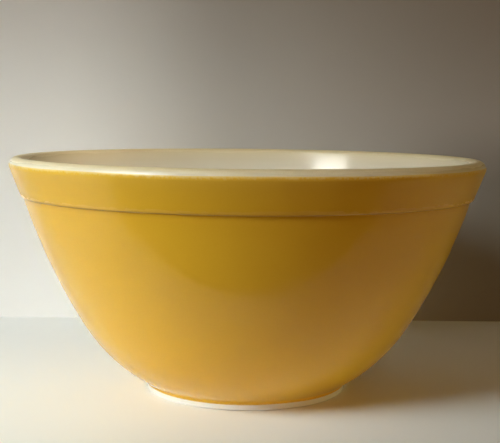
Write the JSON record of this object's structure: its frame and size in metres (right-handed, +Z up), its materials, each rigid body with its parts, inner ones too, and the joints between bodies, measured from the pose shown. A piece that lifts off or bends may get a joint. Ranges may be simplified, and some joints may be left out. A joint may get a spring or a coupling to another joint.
{
  "type": "mixing bowl",
  "caption": "Round pressed-glass mixing bowl with curved walls, a raised band under a rounded lip, a low foot ring and a coloured enamel coat on the outside.",
  "frame": {"origin": "centre of the circle that the foot ring stands on, on the plane that it stands on", "axes": "+Z up along the bowl's axis of revolution, out of its mouth; +X and +Y are any two directions across it, since the bowl is round"},
  "size_m": [0.2644, 0.2644, 0.131],
  "materials": {
    "opal_glass": "pressed opal glass, milk white and opaque, glossy and fire-polished at the lip",
    "yellow_enamel": "fired vitreous enamel, golden yellow and glossy, with a faint orange-peel surface"
  },
  "bodies": {
    "root": {"glass_bowl": "opal_glass", "enamel_coat": "yellow_enamel"}
  },
  "joints": []
}
